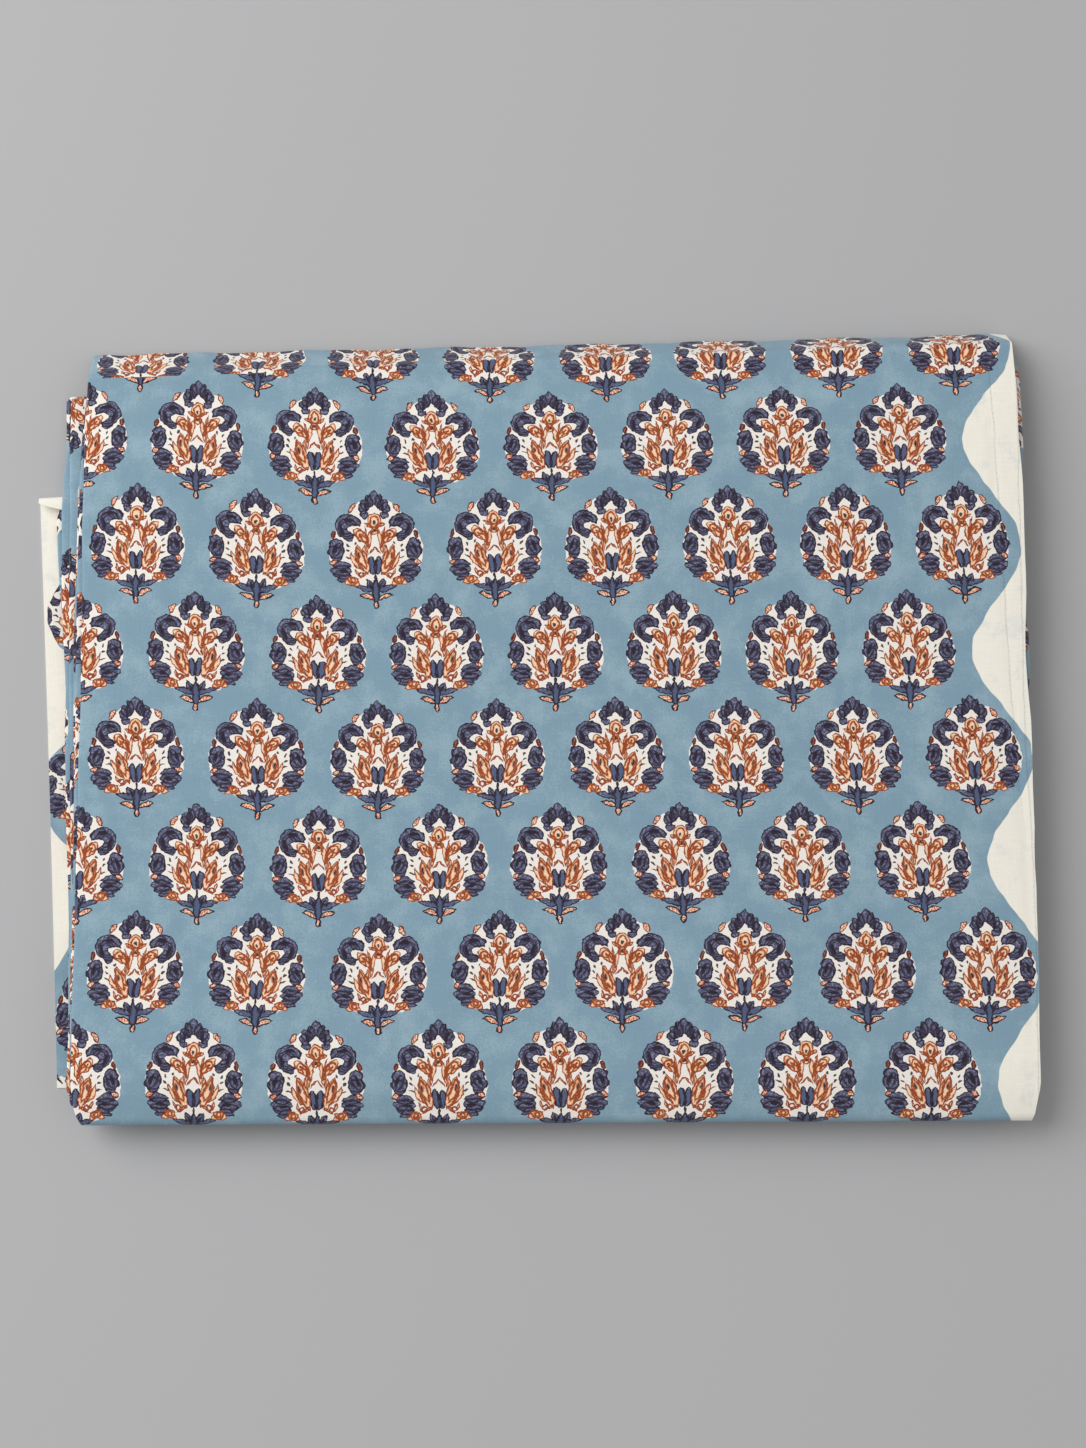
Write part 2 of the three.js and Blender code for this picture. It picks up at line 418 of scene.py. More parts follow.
def section(under_edge, left_fold, right_fold, selvedge):
    """One row: where each column is along X, and how far its ply is from the middle of the strip."""
    x = np.zeros(len(columns))
    offset = np.zeros(len(columns))
    one, two, three = is_ply["ply one"], is_ply["ply two"], is_ply["ply three"]
    x[one] = mix(left_fold + FOLD_REACH, selvedge, shares[one])
    x[two] = mix(right_fold - FOLD_REACH, left_fold + FOLD_REACH, shares[two])
    x[three] = mix(under_edge, right_fold - FOLD_REACH, shares[three])
    offset[one], offset[three] = PLY_PITCH, -PLY_PITCH
    bend = np.pi * shares[is_ply["left fold"]]
    x[is_ply["left fold"]] = left_fold + FOLD_REACH * (1.0 - np.sin(bend))
    offset[is_ply["left fold"]] = PLY_PITCH * (1.0 - np.cos(bend)) / 2
    bend = np.pi * shares[is_ply["right fold"]]
    x[is_ply["right fold"]] = right_fold - FOLD_REACH * (1.0 - np.sin(bend))
    offset[is_ply["right fold"]] = -PLY_PITCH * (1.0 + np.cos(bend)) / 2
    return x, offset


def waves(along, table):
    """A sum of small waves: each row of the table has a height, a length and a phase."""
    return sum(height * np.sin(along / length + phase) for height, length, phase in table)


# %% Fold every row of the grid
HEM_WAVES = [(0.30, 8.3, 0.0), (0.22, 3.1, 1.0)]
TOP_RIGHT = TURNS[1]["right"]


def wobble(along, phase):
    """A small unevenness of an edge along the cloth."""
    return waves(along, [(0.35, 23.0, phase), (0.2, 7.3, 2.1 * phase)])


points, section_runs, sideways = [], [], []
for station in stations:
    kind, layer, share = station
    (left_y, right_y), *_, left, right = strip_point(station, np.array([0.0, 1.0]))
    along = (left_y + right_y) / 2
    under_edge, left_fold, right_fold, selvedge = ply_edges(station, left, right, left_y, right_y)
    # Each edge wavers by its own amount, and on each layer in its own way.
    left_fold += 0.7 * wobble(along, 1.3 * layer)
    right_fold += 0.6 * wobble(along, 2.0 + 1.7 * layer)
    selvedge += 0.5 * wobble(along, 4.0 + layer)
    x, offset = section(under_edge, left_fold, right_fold, selvedge)
    y, z, normal_y, normal_z, left, right = strip_point(station, (x - left) / (right - left))
    y = y + normal_y * offset
    z = z + normal_z * offset
    if kind == "end":
        y = y + share * waves(x, HEM_WAVES)
    height = settled_height(x, y, z) + ripple(x, y, z)
    on_top = kind in ("end", "crease") or layer == 0 and kind == "layer"
    if on_top:
        height = height - crease_depth(x, y) * smoothstep(z, CREASED_FROM, CREASED_FULL)
        sideways.append(0.0)
    else:
        sideways.append((selvedge - TOP_RIGHT) * (share if kind == "turn" and layer == 0 else 1.0))
    points.append(np.stack([x, y, height], axis=1))
    steps = np.hypot(np.diff(x), np.diff(offset))
    section_runs.append(np.concatenate([[0.0], np.cumsum(steps)]))
points = np.array(points)
section_runs = np.array(section_runs)
print("folded points:", points.shape[:2], "highest", round(points[:, :, 2].max(), 2), "mm")


# %% Where each point lies on the flat, unfolded cloth
# The flat cloth is measured so that the top ply's flat places are its own X and Y: the print then falls where
# the photo shows it. Away from the top, the distance along the folded cloth goes on from there.
# The tuck in the far crease: how much print it hides, and from where to where along X it deepens.
TUCK = {"hidden": 6.0, "from_x": -95.0, "full_x": -150.0}
# The slack of the lowest layer: how far it moves the print, at places along Y.
SLACK_Y = [-137.0, -114.0, -23.0, 44.0, 100.0]
SLACK = [14.8, 14.8, 5.9, 21.9, 21.9]

first_of_one = int(np.argmax(is_ply["ply one"]))
on_layer = np.array([kind == "layer" and layer == 0 for kind, layer, share in stations])
first_top, last_top = np.flatnonzero(on_layer)[[0, -1]]
row_steps = np.hypot(np.diff(points[:, :, 1], axis=0), np.diff(points[:, :, 2], axis=0))
flat_x = (points[:, first_of_one, 0] - np.array(sideways))[:, None] + section_runs
flat_x = flat_x - section_runs[:, first_of_one][:, None]
flat_y = points[:, :, 1].copy()
for row in range(last_top + 1, len(stations)):
    flat_y[row] = flat_y[row - 1] + row_steps[row - 1]
for row in range(first_top - 1, -1, -1):
    flat_y[row] = flat_y[row + 1] - row_steps[row]
# A small tuck is pressed into the far crease at its left end, and hides a little of the print there.
tucked = smoothstep(-points[last_top + 1:, :, 0], -TUCK["from_x"], -TUCK["full_x"])
flat_y[last_top + 1:] += TUCK["hidden"] * tucked
# The lower layers lie a little slack, which moves their print along the margin that looks out at the left.
for row, (kind, layer, share) in enumerate(stations):
    if layer == 6:
        flat_y[row] += np.interp(points[row, :, 1], SLACK_Y, SLACK)
    elif layer in (4, 5):
        flat_y[row] += SLACK[-1] * (share if kind == "layer" and layer == 4 else 1.0)

# %% Let the print drift as it does in the photo
# Blocks are set down by eye and cloth gives under the hand, so no row of the print is quite straight. At each
# place along X and Y, the tables say how far the print has slipped to the right and how far up. Their values
# weren't chosen by hand: a separate program fitted them to where the flowers lie in the photo.
SLIP_X = [-156.0, -80.0, 0.0, 80.0, 160.0]
SLIP_Y = [138.0, 100.0, 55.0, 0.0, -60.0, -130.0]
SLIP_RIGHT = [
    [0.5, -0.1, -0.5, -0.3, 0.3], [-1.2, -0.8, 0.8, 0.0, -0.9], [-1.7, 0.2, 0.4, 0.9, -0.7],
    [-1.4, 0.7, -0.3, -0.2, -1.6], [-0.3, -0.3, -0.2, 1.6, 0.9], [-2.4, -1.6, -1.7, -0.7, 0.0],
]
SLIP_UP = [
    [6.4, 1.3, -3.8, -1.7, -0.1], [3.0, -1.3, 1.7, 2.7, 3.7], [1.2, -1.6, -0.7, -0.3, -0.8],
    [0.8, -0.9, -0.6, -1.0, -0.6], [0.6, -0.8, 0.7, 0.0, 0.6], [1.3, 0.0, 0.6, 0.6, -0.1],
]
SLIP_REACH = 42.0
# Past the top layer, the print has slipped as far as at its edges.
TOP_HALF_X, TOP_HALF_Y = 190.0, 165.0

here_x = np.clip(flat_x, -TOP_HALF_X, TOP_HALF_X)
here_y = np.clip(flat_y, -TOP_HALF_Y, TOP_HALF_Y)
total, slip_right, slip_up = 0.0, 0.0, 0.0
for row, table_y in enumerate(SLIP_Y):
    for column, table_x in enumerate(SLIP_X):
        share = np.exp(-((here_x - table_x) ** 2 + (here_y - table_y) ** 2) / SLIP_REACH**2)
        total = total + share
        slip_right = slip_right + share * SLIP_RIGHT[row][column]
        slip_up = slip_up + share * SLIP_UP[row][column]
flat_x = flat_x - slip_right / total
flat_y = flat_y - slip_up / total
print("the print slips by up to", round(float(np.abs(slip_up / total).max()), 1), "mm")

# %% [markdown]
# ## One grid, folded
#
# A flat cloth is a grid, so a grid is added and each of its points is moved to its folded place. Its faces
# keep their neighbours, which makes it one whole sheet with no seams. Cloth simulation could fold it too, but
# 21 thin plies would need a very long run, and would not lie where the photo shows them.

# %% Add the grid and move its points
SHEET_THICKNESS = 0.45

bpy.ops.object.select_all(action="DESELECT")
bpy.ops.mesh.primitive_grid_add(x_subdivisions=len(columns) - 1, y_subdivisions=len(stations) - 1, size=1.0)
sheet = bpy.context.object
sheet.name = "folded_cotton"
mesh = sheet.data
mesh.name = "folded_cotton"
shift = np.array([box_low[0] / MM - LOWEST_TURN["left"], box_low[1] / MM - TURNS[1]["reach_left"], 0.0])
folded = (points.reshape(-1, 3) + shift) * MM
mesh.vertices.foreach_set("co", folded.ravel())
mesh.update()
grid_points = len(mesh.vertices)
print("grid points:", grid_points, "of", len(columns) * len(stations))

# %% [markdown]
# ## Two maps for one cloth
#
# The map called print holds the flat cloth's own places in metres, so the pattern follows every fold, as ink
# does. The map called OFBake is only for export. It gives most of its area to the top ply, and hardly any to
# plies that nobody sees.

# %% Write the print map
def corner_points(some_mesh):
    """The point number at every face corner."""
    numbers = np.empty(len(some_mesh.loops), dtype=np.int32)
    some_mesh.loops.foreach_get("vertex_index", numbers)
    return numbers


print_map = mesh.uv_layers[0]
print_map.name = "print"
flat_places = np.stack([flat_x.ravel(), flat_y.ravel()], axis=1) * MM
print_map.data.foreach_set("uv", flat_places[corner_points(mesh)].ravel())
print("print map runs from", flat_places.min(axis=0), "to", flat_places.max(axis=0))

# %% Give the sheet its thickness
solidify = sheet.modifiers.new("cloth thickness", "SOLIDIFY")
solidify.thickness = SHEET_THICKNESS * MM
solidify.offset = 0.0
bpy.ops.object.modifier_apply(modifier=solidify.name)
bpy.ops.object.shade_smooth_by_angle(angle=math.radians(55.0))
mesh = sheet.data
places = np.empty(len(mesh.vertices) * 3)
mesh.vertices.foreach_get("co", places)
places = places.reshape(-1, 3)
face_up = (places[:grid_points, 2] > places[grid_points:, 2]).reshape(len(stations), len(columns))
top_up = bool(face_up[last_top - 3, first_of_one + 60])
print("faces:", len(mesh.polygons), "printed side above its reverse on the top ply:", top_up)

# %% Mark the reverse of the cloth
# Along the folds at the right the ink has been rubbed through, so the reverse is nearly as strong there.
RUBBED_THROUGH = 0.2
RUBBED_SHARE = 0.03

side = mesh.attributes.new("reverse", "FLOAT", "POINT")
is_reverse = (np.arange(len(mesh.vertices)) >= grid_points).astype(np.float32)
near_fold = is_ply["right fold"] | is_ply["ply two"] & (shares < RUBBED_SHARE)
near_fold = near_fold | is_ply["ply three"] & (shares > 1.0 - RUBBED_SHARE)
is_reverse[grid_points:] = np.tile(np.where(near_fold, RUBBED_THROUGH, 1.0), len(stations))
side.data.foreach_set("value", is_reverse)

# %% Lay out the export map
MAP_MARGIN = 0.006
PRINTED_BAND = (0.0, 0.80)
REVERSE_BAND = (0.81, 1.0)
# What is hidden gets little of the map, the margin that sticks out gets more, and the left fold most.
HIDDEN_SHARE, HIDDEN_ROW_SHARE = 0.05, 0.06
MARGIN_WIDTH, MARGIN_SHARE = 16.0, 0.6
FOLD_WEIGHT = 20.0
RIM_REACH = 0.6 * MAP_MARGIN


def spread(weights, low, high):
    """Places from low to high whose steps are in the ratio of the weights."""
    steps = np.concatenate([[0.0], np.cumsum(weights)])
    return low + MAP_MARGIN + (high - low - 2 * MAP_MARGIN) * steps / steps[-1]


def between(flags):
    """True for the steps between two neighbours that are both flagged."""
    return flags[1:] & flags[:-1]


column_runs = np.diff(section_runs[first_top])
row_runs = row_steps.mean(axis=1)
upper_rows = np.array([kind in ("end", "crease") or layer == 0 for kind, layer, share in stations])
lowest_rows = np.array([kind == "layer" and layer == 6 for kind, layer, share in stations])
ply_one_steps, ply_three_steps = between(is_ply["ply one"]), between(is_ply["ply three"])
margin_steps = ply_three_steps & (np.cumsum(column_runs) < MARGIN_WIDTH)
below_share = np.where(margin_steps, MARGIN_SHARE, HIDDEN_SHARE)
across_printed = column_runs * np.where(ply_one_steps, 1.0, below_share)
across_printed[between(is_ply["left fold"])] *= FOLD_WEIGHT
across_reverse = column_runs * np.where(ply_three_steps, 1.0, HIDDEN_SHARE)
along_printed = row_runs * np.where(between(upper_rows), 1.0, HIDDEN_ROW_SHARE)
along_reverse = row_runs * np.where(between(lowest_rows), 1.0, HIDDEN_SHARE)
map_u = np.stack([spread(across_printed, 0.0, 1.0), spread(across_reverse, 0.0, 1.0)])
map_v = np.stack([spread(along_printed, *PRINTED_BAND), spread(along_reverse, *REVERSE_BAND)])

corners = corner_points(mesh)
corner_side = (corners >= grid_points).astype(int)
corner_column = (corners % grid_points) % len(columns)
corner_row = (corners % grid_points) // len(columns)
face_sizes = np.empty(len(mesh.polygons), dtype=np.int32)
mesh.polygons.foreach_get("loop_total", face_sizes)
face_of_corner = np.repeat(np.arange(len(mesh.polygons)), face_sizes)
reverse_corners = np.bincount(face_of_corner, weights=corner_side)
is_rim = ((reverse_corners > 0) & (reverse_corners < face_sizes))[face_of_corner]
u = map_u[np.where(is_rim, 0, corner_side), corner_column]
v = map_v[np.where(is_rim, 0, corner_side), corner_row]
outwards_u = (corner_column == len(columns) - 1) * 1.0 - (corner_column == 0) * 1.0
outwards_v = (corner_row == len(stations) - 1) * 1.0 - (corner_row == 0) * 1.0
on_outer = is_rim & (corner_side == 1)
u = u + np.where(on_outer, outwards_u * RIM_REACH, 0.0)
v = v + np.where(on_outer, outwards_v * RIM_REACH, 0.0)
export_map = mesh.uv_layers.new(name="OFBake")
export_map.data.foreach_set("uv", np.stack([u, v], axis=1).ravel().astype(np.float32))
mesh.uv_layers.active = mesh.uv_layers["print"]
mesh.uv_layers["print"].active_render = True
mesh.update()
print("export map gives the top ply", round(float(np.ptp(map_v[0][upper_rows])), 2), "of its height")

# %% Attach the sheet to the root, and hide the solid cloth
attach(sheet, "root")
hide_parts("cloth")

# %% [markdown]
# ## Ink colours
#
# Block printing lays one ink after another: first the washed blue ground around the blocks, then the navy
# with its dark outline, then the rust, and last the small buds, eyes and dashes. The inks are matt and sit in
# the threads. Colours are set in sRGB, adjusted until renders came near the photo's average tones,
# and turned into the linear values that Blender works in.

# %% Colours
def linear(red, green, blue):
    """An sRGB colour of 0 to 255 as Blender's linear colour."""
    parts = []
    for value in (red, green, blue):
        part = value / 255.0
        parts.append(part / 12.92 if part <= 0.04045 else ((part + 0.055) / 1.055) ** 2.4)
    return (*parts, 1.0)


INK = {
    "ground": linear(129, 159, 176),
    "ground pale": linear(150, 176, 189),
    "white": linear(243, 236, 227),
    "selvedge": linear(248, 243, 230),
    "selvedge stain": linear(208, 218, 220),
    "outline": linear(43, 33, 48),
    "navy": linear(80, 80, 108),
    "navy pale": linear(128, 132, 157),
    "denim": linear(84, 98, 130),
    "rust": linear(148, 62, 30),
    "orange": linear(232, 160, 102),
    "peach": linear(248, 216, 187),
    "dark rust": linear(96, 38, 30),
    "rim red": linear(204, 92, 54),
}
print(len(INK), "inks")

# %% [markdown]
# ## The flower, charted
#
# The motif is a traditional flowering bush. Every petal, leaf and line in it is drawn as a carpenter draws an
# oval or a leaf. A petal is an ellipse, so it is a loop of string round two pins. A leaf is the overlap of
# two circles that cross at its tips. Both need only distances to two points, which are cheap nodes. A painted
# image would be quicker to make, but it would blur when the cloth is seen from near, and nodes don't.

# %% The chart of one half of the flower
# Sizes in millimetres from the foot of the stem: X is how far to the side, Y how far up. For each ink, a row
# gives the shape, where it starts and ends, its half width, and how far a leaf bends to its left if it does.
# A cut shape is taken out of the ink above it. A dot and a ring have only a middle, and the ring's last
# number is half the width of its line.
CHART = {
    "navy": [
        # crown
        ("leaf", 0.0, 38.0, 0.0, 46.5, 2.4),
        ("petal", 1.3, 39.4, 2.6, 44.7, 1.3),
        ("petal", 2.0, 38.4, 4.7, 42.7, 1.9),
        ("petal", 3.4, 37.4, 5.6, 41.0, 1.7),
        ("dot", 3.7, 36.9, 0.0, 0.0, 1.75),
        ("cut leaf", 0.0, 36.0, 0.0, 40.6, 1.3),
        ("cut leaf", -0.4, 39.0, 3.0, 37.7, 0.55),
        # shoulder flower
        ("dot", 10.4, 32.3, 0.0, 0.0, 4.9),
        ("petal", 5.3, 33.4, 11.0, 35.4, 2.0),
        ("petal", 12.6, 30.6, 8.6, 26.6, 1.9),
        ("ring", 10.4, 31.7, 0.0, 0.0, 3.0, 0.5),
        ("cut petal", 10.4, 31.3, 3.2, 29.6, 1.7),
        # side flower
        ("petal", 14.6, 27.6, 14.9, 18.4, 2.9),
        ("petal", 12.4, 25.7, 17.7, 25.6, 1.8),
        ("petal", 12.3, 21.4, 18.3, 22.6, 2.1),
        ("petal", 13.6, 25.6, 15.8, 20.6, 1.3),
        # lower side flower
        ("leaf", 9.0, 16.4, 17.7, 17.5, 1.7, 0.2),
        ("petal", 8.9, 14.6, 17.4, 15.0, 2.0),
        ("leaf", 9.2, 12.9, 16.6, 13.4, 1.7),
        ("leaf", 9.8, 13.0, 14.9, 10.8, 1.3, -0.3),
        # tulip and its stem
        ("petal", 0.7, 13.2, 1.7, 20.5, 1.6),
        ("leaf", 0.0, 13.0, 0.0, 18.5, 0.5),
        ("leaf", 0.0, 10.6, 0.0, 13.6, 0.5),
        # base leaves
        ("leaf", 0.4, 5.6, 3.4, 11.6, 1.5),
        ("leaf", 0.3, 6.0, 8.3, 8.8, 1.2, 0.45),
        ("petal", 0.0, 1.6, 0.0, 11.4, 1.45),
    ],
    "denim": [
        ("petal", 0.0, 2.0, 0.0, 10.6, 0.75),
        ("petal", 1.1, 14.6, 1.6, 19.5, 0.7),
        ("leaf", 1.2, 6.6, 5.8, 8.3, 0.45, 0.1),
    ],
    "rust": [
        # rust bud under the crown
        ("leaf", 0.0, 30.8, 0.0, 37.6, 2.7),
        ("leaf", 0.0, 31.8, 0.0, 36.3, 1.5),
        ("leaf", 1.2, 31.8, 4.0, 33.7, 0.65, 0.1),
        ("petal", 0.0, 28.7, 0.0, 31.9, 1.5),
        # legs of the trunk
        ("leaf", 0.8, 31.8, 2.9, 21.4, 1.0, 0.35),
        ("leaf", 4.1, 32.4, 2.8, 25.2, 0.5, -0.2),
        # branch and its rosette
        ("petal", 3.4, 26.2, 8.0, 31.4, 1.9),
        ("leaf", 2.3, 24.0, 5.8, 29.0, 0.7, 0.2),
        ("dot", 6.0, 29.2, 0.0, 0.0, 1.35),
        # chevron and curls beside the tulip
        ("leaf", -0.2, 24.3, 2.4, 21.4, 0.36),
        ("leaf", 2.5, 17.4, 3.7, 25.2, 0.8, -0.9),
        # carrot-shaped leaf
        ("leaf", 2.5, 12.8, 7.0, 25.2, 2.2, -0.3),
        ("leaf", 3.7, 15.8, 6.9, 24.0, 1.2, -0.2),
        ("leaf", 4.6, 14.8, 9.3, 22.0, 1.0, -0.8),
        # lower scrolls
        ("leaf", 2.2, 13.6, 6.2, 11.4, 0.6, 0.5),
        ("ring", 5.6, 13.2, 0.0, 0.0, 0.9, 0.3),
        ("leaf", 6.0, 12.2, 7.6, 15.8, 0.55, -0.3),
        # corner flower
        ("leaf", 6.2, 9.2, 11.0, 12.2, 1.5),
        ("leaf", 6.6, 11.6, 12.3, 9.6, 1.4),
        ("dot", 8.9, 10.9, 0.0, 0.0, 0.8),
    ],
    "rim": [
        # buds on the rim
        ("leaf", 9.7, 37.2, 7.3, 41.3, 1.05, -0.3),
        ("petal", 15.5, 30.5, 16.4, 27.2, 0.9),
        ("petal", 14.8, 18.7, 17.4, 17.4, 1.1),
    ],
    "foot": [
        # small leaves and stem end at the foot
        ("leaf", 0.5, 2.8, 6.6, 5.2, 1.2, 0.8),
        ("petal", 0.0, -0.2, 0.0, 3.0, 1.2),
    ],
    "dark": [
        # dark eyes, spots and dashes
        ("petal", -0.1, 32.7, 0.2, 34.3, 0.5),
        ("dot", 0.0, 30.2, 0.0, 0.0, 0.55),
        ("dot", 6.1, 29.1, 0.0, 0.0, 0.3),
        ("leaf", 7.4, 34.4, 12.2, 34.6, 0.75, 0.5),
        ("leaf", 13.2, 33.4, 11.6, 28.6, 0.75, 0.3),
        ("leaf", 14.4, 25.2, 15.7, 21.4, 0.7, 0.3),
        ("leaf", 10.2, 14.5, 14.0, 14.5, 0.7),
        ("leaf", 3.0, 36.6, 4.0, 42.0, 0.5, 0.2),
        ("leaf", 1.2, 7.2, 2.8, 10.6, 0.4),
        ("leaf", 5.9, 19.4, 6.5, 22.2, 0.3),
        ("leaf", 7.3, 26.2, 7.8, 24.9, 0.4),
        ("leaf", 9.8, 23.9, 10.8, 25.4, 0.38),
        ("leaf", 9.8, 21.9, 11.4, 22.8, 0.42, 0.2),
        ("leaf", 8.8, 19.0, 11.4, 20.2, 0.3, 0.3),
    ],
}
# The white ground behind the flower: its half width at heights up from the foot.
WHITE_GROUND = [
    (7.4, 0.0), (7.7, 5.0), (8.6, 8.4), (10.2, 11.6), (14.0, 15.6), (17.5, 17.6), (21.5, 18.2), (26.0, 17.7),
    (30.0, 16.2), (33.0, 13.8), (36.0, 10.8), (38.0, 9.4), (40.0, 7.9), (41.2, 6.6), (41.8, 5.0), (42.0, 0.0),
]
print(sum(len(rows) for rows in CHART.values()), "shapes in half a flower")

# %% [markdown]
# ## Helpers that add nodes
#
# Each helper adds one node and returns its output, so a pattern reads like a sum. The nodes are added in the
# order in which the picture is worked out, because the renderer keeps few unfinished results at a time.

# %% Node helpers
HALF = (0.5, 0.5, 0.5)

cotton = bpy.data.materials.new("printed_cotton")
cotton.use_nodes = True
tree = cotton.node_tree
tree.nodes.clear()


def feed(socket, value):
    """Links an output to an input, or sets the input to a number or colour."""
    if isinstance(value, bpy.types.NodeSocket):
        tree.links.new(value, socket)
    else:
        socket.default_value = value


def add(kind, *values, **settings):
    """Adds a node with its settings, and feeds its first inputs."""
    node = tree.nodes.new(f"ShaderNode{kind}")
    for name, setting in settings.items():
        setattr(node, name, setting)
    for socket, value in zip(node.inputs, values):
        feed(socket, value)
    return node


def calc(operation, *values):
    """One sum on numbers."""
    return add("Math", *values, operation=operation).outputs[0]


def vector_calc(operation, *values):
    """One sum on vectors."""
    node = add("VectorMath", *values, operation=operation)
    return node.outputs["Value" if operation in ("DISTANCE", "DOT_PRODUCT", "LENGTH") else "Vector"]


def scaled(vector, factor):
    """A vector or colour made longer or shorter."""
    node = add("VectorMath", vector, operation="SCALE")
    feed(node.inputs["Scale"], factor)
    return node.outputs["Vector"]


def stretch(value, low, high, new_low=0.0, new_high=1.0):
    """Turns a value's range softly into another range, and keeps it there."""
    return add("MapRange", value, low, high, new_low, new_high, interpolation_type="SMOOTHSTEP").outputs[0]


def blend(factor, under, over):
    """One colour laid over another."""
    node = add("Mix", data_type="RGBA")
    feed(node.inputs["Factor"], factor)
    feed(node.inputs["A"], under)
    feed(node.inputs["B"], over)
    return node.outputs["Result"]


def noise(place, size, detail=1.0, colour=False, roughness=0.5):
    """Soft noise with spots of about that size."""
    node = add("TexNoise", place, noise_dimensions="2D")
    node.inputs["Scale"].default_value = 1.0 / size
    node.inputs["Detail"].default_value = detail
    node.inputs["Roughness"].default_value = roughness
    return node.outputs["Color" if colour else "Fac"]


def join(x, y):
    """A flat place from its two parts."""
    return add("CombineXYZ", x, y).outputs[0]


def parts(vector):
    """The X and Y of a vector."""
    node = add("SeparateXYZ", vector)
    return node.outputs["X"], node.outputs["Y"]


# %% [markdown]
# ## Finding the nearest flower
#
# The flowers stand in rows like bricks, half a step apart. Each point of the cloth is measured from the
# nearest flower of the even rows and the nearest of the odd rows, and the closer one wins. The rows lean a
# little, as they do when blocks are set by hand.

# %% The brick layout
COLUMN_STEP, ROW_STEP = 45.58, 41.09
FIRST_FOOT = (-157.39, 127.99)
ROW_TURN, ROW_LEAN = math.radians(0.3), math.radians(1.02)
FLOWER_MIDDLE = 22.0

cloth_place = scaled(add("UVMap", uv_map="print").outputs[0], 1.0 / MM)

lean = math.cos(ROW_LEAN)
row_axis = (math.cos(ROW_TURN + ROW_LEAN) / lean, math.sin(ROW_TURN + ROW_LEAN) / lean, 0.0)
column_axis = (-math.sin(ROW_TURN) / lean, math.cos(ROW_TURN) / lean, 0.0)
from_foot = vector_calc("SUBTRACT", cloth_place, (*FIRST_FOOT, 0.0))
along_row = vector_calc("DOT_PRODUCT", from_foot, row_axis)
up_column = calc("SUBTRACT", vector_calc("DOT_PRODUCT", from_foot, column_axis), FLOWER_MIDDLE)


def nearest(shift_x, shift_y):
    """The place measured from the nearest flower of one set of rows, and how far away it is."""
    x = calc("WRAP", calc("SUBTRACT", along_row, shift_x), COLUMN_STEP / 2, -COLUMN_STEP / 2)
    y = calc("WRAP", calc("SUBTRACT", up_column, shift_y), ROW_STEP, -ROW_STEP)
    place = join(x, y)
    return place, vector_calc("LENGTH", place)


even_place, even_far = nearest(0.0, 0.0)
odd_place, odd_far = nearest(COLUMN_STEP / 2, -ROW_STEP)
pick = add("Mix", data_type="VECTOR")
feed(pick.inputs["Factor"], calc("LESS_THAN", odd_far, even_far))
# The node keeps its A and B for vectors at 4 and 5.
feed(pick.inputs[4], even_place)
feed(pick.inputs[5], odd_place)
flower_place = pick.outputs[1]

# Each flower has a number of its own, from its place in the rows, for its own small faults. No flower is
# printed past the border, so one that would stand there is moved far off.
LAST_COLUMN, FAR_OFF = 334.0, 300.0
grid_place = vector_calc("SUBTRACT", join(along_row, up_column), flower_place)
past_border = calc("GREATER_THAN", parts(grid_place)[0], LAST_COLUMN)
flower_place = vector_calc("ADD", flower_place, join(0.0, calc("MULTIPLY", past_border, FAR_OFF)))
grid_steps = vector_calc("DIVIDE", grid_place, (COLUMN_STEP / 2, ROW_STEP, 1.0))
whole_steps = vector_calc("FLOOR", vector_calc("ADD", grid_steps, HALF))
own_number = add("TexWhiteNoise", whole_steps, noise_dimensions="2D")
own_faults = vector_calc("SUBTRACT", own_number.outputs["Color"], HALF)

# %% Hand-printed wobble, the same for every ink of a flower
JITTER, WANDER, ROUGH_EDGE = 0.5, 1.2, 0.5
coarse = vector_calc("SUBTRACT", noise(cloth_place, 3.4, 1.0, colour=True), HALF)
fine = vector_calc("SUBTRACT", noise(cloth_place, 1.1, 0.0, colour=True), HALF)
moved = vector_calc("MULTIPLY_ADD", own_faults, (JITTER, JITTER, 0.0), flower_place)
moved = vector_calc("MULTIPLY_ADD", coarse, (WANDER, WANDER, 0.0), moved)
moved = vector_calc("MULTIPLY_ADD", fine, (ROUGH_EDGE, ROUGH_EDGE, 0.0), moved)
moved = vector_calc("ADD", moved, (0.0, FLOWER_MIDDLE, 0.0))
moved_x, moved_y = parts(moved)
half_place = join(calc("ABSOLUTE", moved_x), moved_y)

# %% Shapes from pins and circles
def leaf(tip, end, half_width, bend):
    """How far a place is inside a leaf (below 0) or outside it: the overlap of two circles."""
    half = math.dist(tip, end) / 2
    middle = ((tip[0] + end[0]) / 2, (tip[1] + end[1]) / 2)
    normal = (-(end[1] - tip[1]) / (2 * half), (end[0] - tip[0]) / (2 * half))
    edges = []
    for side, bulge in ((1, half_width + bend), (-1, half_width - bend)):
        hollow = bulge < 0
        bulge = max(abs(bulge), 0.001)
        radius = (half * half + bulge * bulge) / (2 * bulge)
        reach = (radius - bulge) * (-side if hollow else side)
        centre = (middle[0] - normal[0] * reach, middle[1] - normal[1] * reach, 0.0)
        far = vector_calc("DISTANCE", half_place, centre)
        edges.append(calc("SUBTRACT", radius, far) if hollow else calc("SUBTRACT", far, radius))
    return calc("MAXIMUM", *edges)


